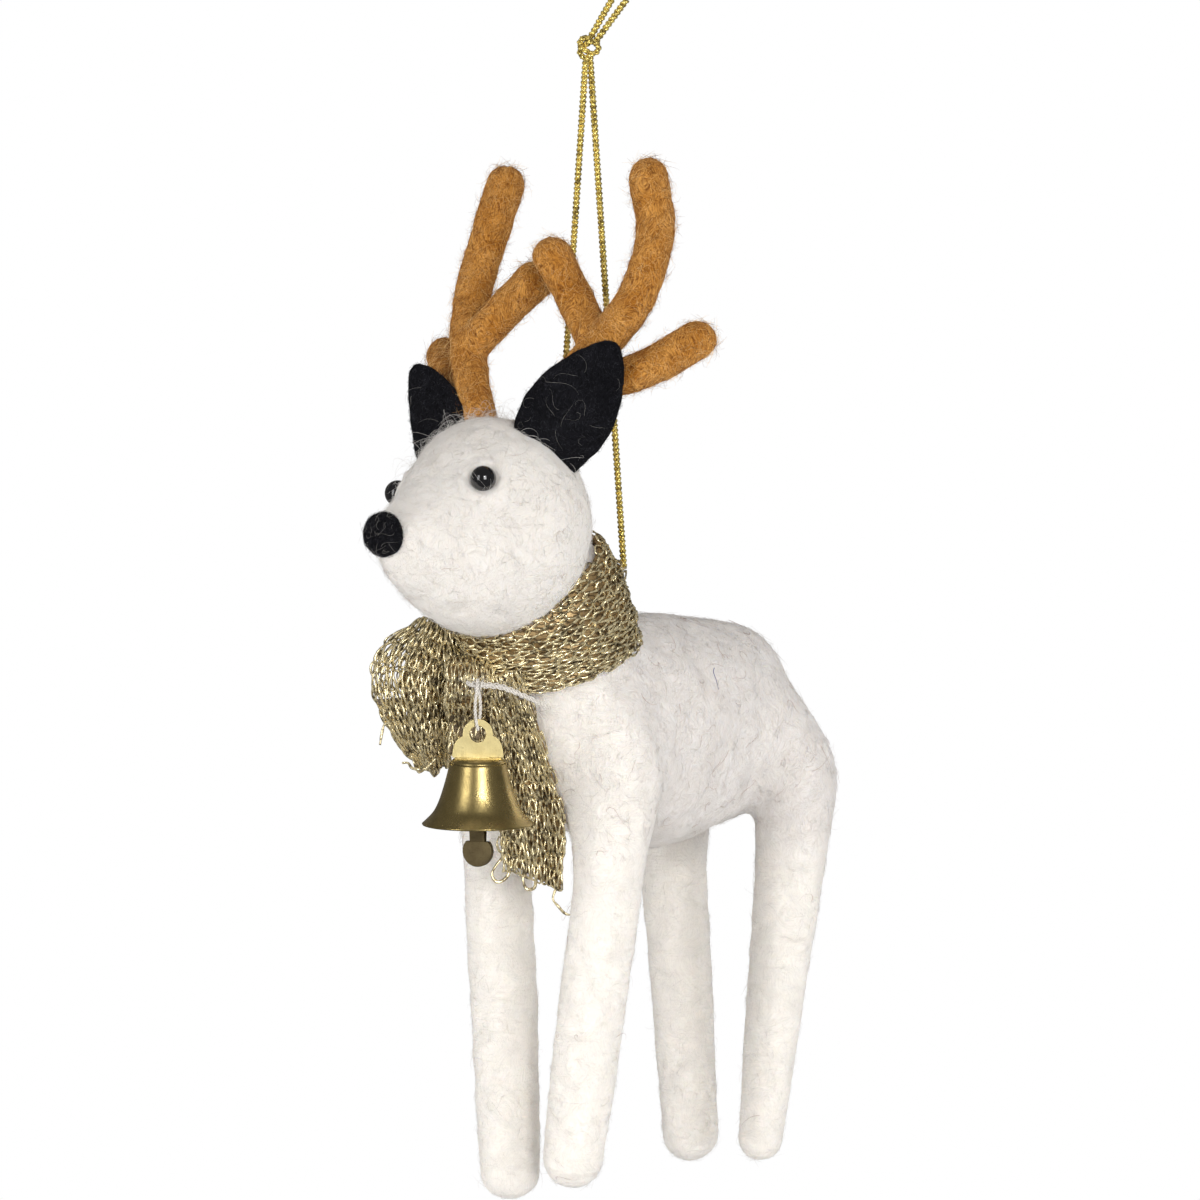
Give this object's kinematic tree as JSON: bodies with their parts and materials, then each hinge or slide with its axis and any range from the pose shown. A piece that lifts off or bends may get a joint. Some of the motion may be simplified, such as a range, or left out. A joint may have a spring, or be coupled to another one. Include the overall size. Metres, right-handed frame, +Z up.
{
  "type": "hanging reindeer ornament",
  "caption": "Needle-felted wool reindeer with rolled antlers, felt ears, a metallic knitted scarf and a small brass bell, hung on a braided cord.",
  "frame": {"origin": "the point inside the cord's loop, just under its knot, that a hook holds", "axes": "+Z up; the reindeer faces -X, and its left side is towards -Y"},
  "size_m": [0.0953, 0.0603, 0.1942],
  "materials": {
    "wool": "needle-felted wool",
    "leg_wool": "wrapped and felted wool",
    "antler_wool": "rolled and felted wool",
    "black_felt": "pressed felt",
    "black_bead": "glossy",
    "gold_knit": "metallic yarn, knitted",
    "gold_braid": "metallic braid",
    "cotton_thread": "matte thread",
    "brass": "polished, lightly scratched",
    "armature_wire": "plain wire"
  },
  "bodies": {
    "hanger": {"cord_knot": "gold_braid", "cord_strand_left": "gold_braid", "cord_strand_right": "gold_braid", "cord_tail_left": "gold_braid", "cord_tail_right": "gold_braid"},
    "reindeer": {"body": "wool", "leg_front_left": "leg_wool", "leg_hind_left": "leg_wool", "leg_front_right": "leg_wool", "leg_hind_right": "leg_wool", "leg_wire_front": "armature_wire", "leg_wire_hind": "armature_wire", "spine_wire": "armature_wire", "antler_beam_left": "antler_wool", "antler_inner_tine_left": "antler_wool", "antler_outer_tine_left": "antler_wool", "antler_wire_left": "armature_wire", "antler_beam_right": "antler_wool", "antler_inner_tine_right": "antler_wool", "antler_outer_tine_right": "antler_wool", "antler_wire_right": "armature_wire", "ear_left": "black_felt", "ear_right": "black_felt", "nose": "black_felt", "head": "wool", "eye_left": "black_bead", "eye_right": "black_bead", "scarf_collar": "gold_knit", "scarf_short_end": "gold_knit", "scarf_long_end": "gold_knit", "cord_inner": "gold_braid", "thread_tie": "cotton_thread"},
    "bell_thread": {"thread_loop": "cotton_thread"},
    "bell": {"bell_shell": "brass", "bell_hanger": "brass"},
    "clapper": {"bell_clapper": "brass"}
  },
  "joints": [
    {"name": "hang_swing", "type": "hinge", "parent": "hanger", "child": "reindeer", "pos_m": [0, 0, -0.0806], "axis": [0, 1, 0], "range_deg": [-95, 5]},
    {"name": "thread_swing", "type": "hinge", "parent": "reindeer", "child": "bell_thread", "pos_m": [-0.03032, -0.004, -0.09769], "axis": [0.6691, -0.7431, 0], "range_deg": [-75, 1]},
    {"name": "bell_swing", "type": "hinge", "parent": "bell_thread", "child": "bell", "pos_m": [-0.03032, -0.004, -0.10469], "axis": [0.7431, 0.6691, 0], "range_deg": [-20, 30]},
    {"name": "clapper_swing", "type": "hinge", "parent": "bell", "child": "clapper", "pos_m": [-0.03032, -0.004, -0.11169], "axis": [0.9272, 0.3746, 0], "range_deg": [-30, 30]}
  ]
}
